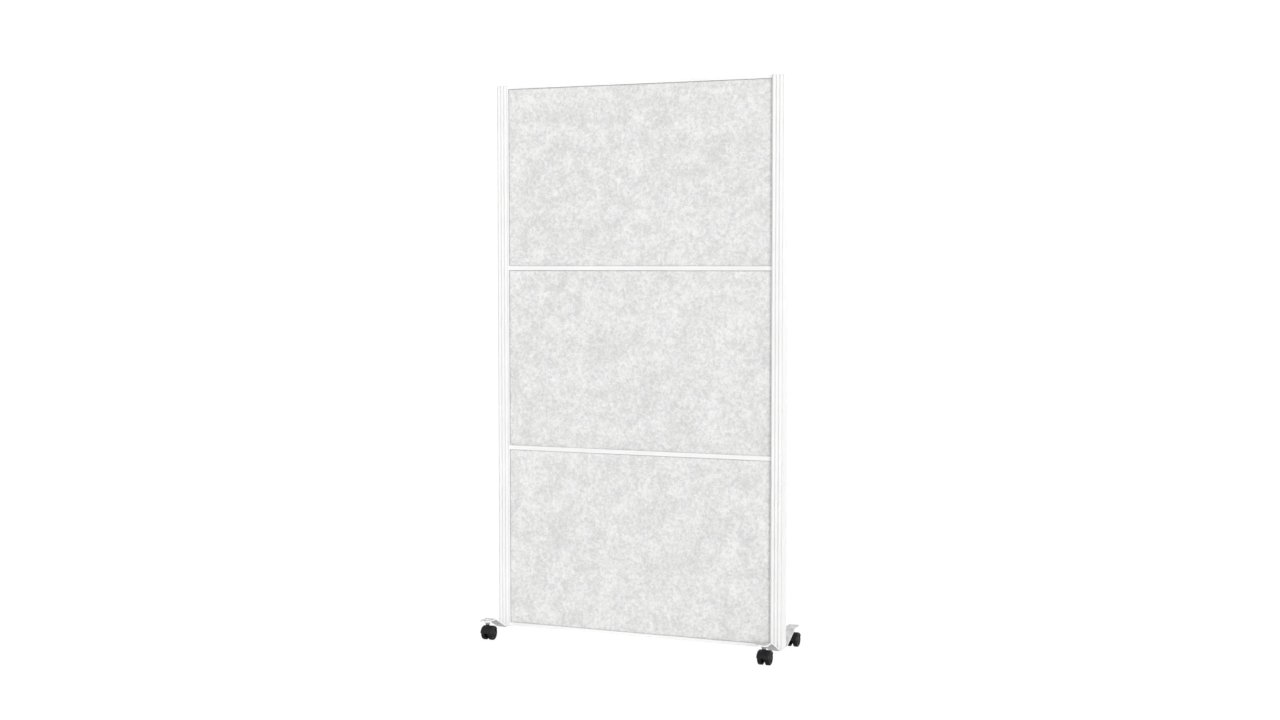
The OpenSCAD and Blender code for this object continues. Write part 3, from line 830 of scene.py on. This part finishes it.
class PARTITION_OT_felts(bpy.types.Operator):
    """Build the front and rear felt of each panel"""

    bl_idname = "partition.felts"
    bl_label = "Felts"

    def execute(self, context):
        felt = context.scene.partition_wall.felt
        material = felt_material(felt)
        left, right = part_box("left_post")[1].x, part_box("right_post")[0].x
        for number, bay in enumerate(BAYS):
            seen_low = Vector((left, 0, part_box(RAILS[number])[1].z))
            seen_high = Vector((right, 0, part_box(RAILS[number + 1])[0].z))
            for side, outward in (("front", -1), ("rear", 1)):
                node = f"{bay}_{side}_felt"
                low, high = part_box(node)
                seed = 10 * number + outward + 1
                piece = felt_sheet(
                    f"{node}_sheet", low, high, seen_low, seen_high, outward, felt, seed
                )
                piece.data.materials.append(material)
                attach(piece, "wall")
                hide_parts(node)
        return {"FINISHED"}


class PARTITION_OT_cores(bpy.types.Operator):
    """Finish the core boards inside the panels"""

    bl_idname = "partition.cores"
    bl_label = "Core boards"

    def execute(self, context):
        paint([f"{bay}_core_board" for bay in BAYS], board_material())
        return {"FINISHED"}


class PARTITION_OT_steel(bpy.types.Operator):
    """Finish the screws, foot bolts, castor stems and axles"""

    bl_idname = "partition.steel"
    bl_label = "Screws, bolts, stems and axles"

    def execute(self, context):
        zinc = bare_steel("fastener_zinc_steel", (0.56, 0.57, 0.6), roughness=0.34)
        paint([f"{end}_{kind}" for end in ENDS for kind in ("rail_screws", "foot_bolts")], zinc)
        turned = bare_steel("castor_turned_steel", (0.5, 0.5, 0.52), roughness=0.3)
        paint([f"{castor}_{kind}" for castor in CASTORS for kind in ("stem", "axle")], turned)
        return {"FINISHED"}


class PARTITION_OT_hoods(bpy.types.Operator):
    """Finish the castors' hoods"""

    bl_idname = "partition.hoods"
    bl_label = "Castor hoods"

    def execute(self, context):
        plastic = context.scene.partition_wall.plastic
        material = black_nylon("hood_nylon_black", plastic, roughness=0.42, wear=0.5, dust=0.12)
        paint([f"{castor}_hood" for castor in CASTORS], material)
        return {"FINISHED"}


class PARTITION_OT_wheels(bpy.types.Operator):
    """Build the castors' wheels"""

    bl_idname = "partition.wheels"
    bl_label = "Castor wheels"

    def execute(self, context):
        wall = context.scene.partition_wall
        plastic = wall.plastic
        material = black_nylon("wheel_nylon_black", plastic, roughness=0.4, wear=0.5, dust=0.08)
        axle_low, axle_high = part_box("front_right_axle")
        low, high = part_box("front_right_outer_wheel")
        bore = (axle_high.z - axle_low.z) / 2 + 0.05 * MM
        mesh = wheel_mesh((high.z - low.z) / 2, high.x - low.x, bore, wall.wheel)
        mesh.materials.append(material)
        for castor in CASTORS:
            axle_low, axle_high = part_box(f"{castor}_axle")
            for place in WHEELS:
                node = f"{castor}_{place}_wheel"
                low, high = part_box(node)
                centre = (low + high) / 2
                outwards = centre.x > (axle_low.x + axle_high.x) / 2
                turn = Matrix.Rotation(0 if outwards else math.pi, 4, "Z")
                piece = bpy.data.objects.new(f"{node}_moulded", mesh)
                context.scene.collection.objects.link(piece)
                piece.matrix_world = Matrix.Translation(centre) @ turn
                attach(piece, f"{castor}_{place}_wheel")
                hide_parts(node)
        return {"FINISHED"}


class PARTITION_OT_stage(bpy.types.Operator):
    """Set up the floor, the light and the camera"""

    bl_idname = "partition.stage"
    bl_label = "Stage"

    def execute(self, context):
        stage = context.scene.partition_wall.stage
        self.make_floor(context, stage)
        self.make_sky(context, stage)
        self.make_lamp(context, "key_light", stage.key, width=40, height=17, side=46)
        self.make_lamp(context, "back_fill_light", stage.fill, width=70, height=12, side=205)
        lens = bpy.data.cameras.new("camera")
        lens.lens = stage.lens
        lens.sensor_width = 36
        lens.clip_end = 200
        camera = bpy.data.objects.new("camera", lens)
        camera.location = stage.camera_place
        camera.rotation_euler = stage.camera_turn
        context.scene.collection.objects.link(camera)
        context.scene.camera = camera
        context.scene.view_settings.view_transform = "Standard"
        return {"FINISHED"}

    def make_floor(self, context, stage):
        half, level = 60.0, CAD_BOX[0].z
        corners = [(x * half, y * half, level) for x, y in ((-1, -1), (1, -1), (1, 1), (-1, 1))]
        mesh = bpy.data.meshes.new("studio_floor")
        mesh.from_pydata(corners, [], [(0, 1, 2, 3)])
        floor = bpy.data.objects.new("studio_floor", mesh)
        context.scene.collection.objects.link(floor)
        material, tree, shader, position = new_material("studio_floor_pale")
        shade = noise(tree, position, 3.0, 3.0)
        colour = blended(tree, shade, rgba(stage.floor_colour), rgba(stage.floor_colour, 0.985))
        tree.links.new(colour, shader.inputs["Base Color"])
        shader.inputs["Roughness"].default_value = 0.9
        shader.inputs["Specular IOR Level"].default_value = 0.1
        glow = add(tree, "ShaderNodeEmission", {"Color": WHITE, "Strength": 1.2})
        seen = add(tree, "ShaderNodeLightPath").outputs["Is Camera Ray"]
        share = sum_of(tree, "MULTIPLY", seen, stage.floor_glow)
        both = add(tree, "ShaderNodeMixShader", {0: share, 1: shader.outputs[0], 2: glow.outputs[0]})
        output = next(node for node in tree.nodes if node.type == "OUTPUT_MATERIAL")
        tree.links.new(both.outputs[0], output.inputs["Surface"])
        mesh.materials.append(material)

    def make_sky(self, context, stage):
        world = bpy.data.worlds.new("studio")
        world.use_nodes = True
        tree = world.node_tree
        tree.nodes.clear()
        seen = add(tree, "ShaderNodeBackground", {"Color": WHITE, "Strength": 1.05})
        place = add(tree, "ShaderNodeTexCoord").outputs["Generated"]
        height = add(tree, "ShaderNodeSeparateXYZ", {"Vector": place}).outputs["Z"]
        strength = spread(tree, height, 0.3, 0.65, stage.horizon, stage.sky)
        lit = add(tree, "ShaderNodeBackground", {"Color": WHITE, "Strength": strength})
        ray = add(tree, "ShaderNodeLightPath").outputs["Is Camera Ray"]
        both = add(tree, "ShaderNodeMixShader", {0: ray, 1: lit.outputs[0], 2: seen.outputs[0]})
        add(tree, "ShaderNodeOutputWorld", {"Surface": both.outputs[0]})
        context.scene.world = world

    def make_lamp(self, context, name, strength, width, height, side):
        """A broad light, its height over the floor and its turn from the front given in degrees."""
        lamp = bpy.data.lights.new(name, "SUN")
        lamp.energy = strength
        lamp.angle = math.radians(width)
        light = bpy.data.objects.new(name, lamp)
        light.rotation_euler = (math.radians(90 - height), 0, math.radians(side))
        context.scene.collection.objects.link(light)


OPERATORS = (
    PARTITION_OT_stage, PARTITION_OT_frame, PARTITION_OT_feet, PARTITION_OT_trim,
    PARTITION_OT_felts, PARTITION_OT_cores, PARTITION_OT_steel, PARTITION_OT_hoods,
    PARTITION_OT_wheels,
)


class PARTITION_PT_panel(bpy.types.Panel):
    """Lists the pieces that can be built, in order"""

    bl_idname = "PARTITION_PT_panel"
    bl_label = "Partition wall"
    bl_space_type = "VIEW_3D"
    bl_region_type = "UI"
    bl_category = "Partition wall"

    def draw(self, context):
        for operator in OPERATORS:
            self.layout.operator(operator.bl_idname)
        wall = context.scene.partition_wall
        for group in (wall.coat, wall.plastic, wall.felt, wall.wheel, wall.stage):
            box = self.layout.box()
            for name in group.bl_rna.properties.keys():
                if name not in ("rna_type", "name"):
                    box.prop(group, name)


CLASSES = (
    PARTITION_PG_coat, PARTITION_PG_plastic, PARTITION_PG_felt, PARTITION_PG_wheel,
    PARTITION_PG_stage, PARTITION_PG_wall, *OPERATORS, PARTITION_PT_panel,
)


def register():
    for item in CLASSES:
        bpy.utils.register_class(item)
    bpy.types.Scene.partition_wall = bpy.props.PointerProperty(type=PARTITION_PG_wall)


def unregister():
    del bpy.types.Scene.partition_wall
    for item in reversed(CLASSES):
        bpy.utils.unregister_class(item)


def main():
    """Registers the add-on and builds every piece in order."""
    register()
    bpy.ops.partition.stage()
    bpy.ops.partition.frame()
    bpy.ops.partition.feet()
    bpy.ops.partition.trim()
    bpy.ops.partition.felts()
    bpy.ops.partition.cores()
    bpy.ops.partition.steel()
    bpy.ops.partition.hoods()
    bpy.ops.partition.wheels()


if __name__ == "__main__":
    main()
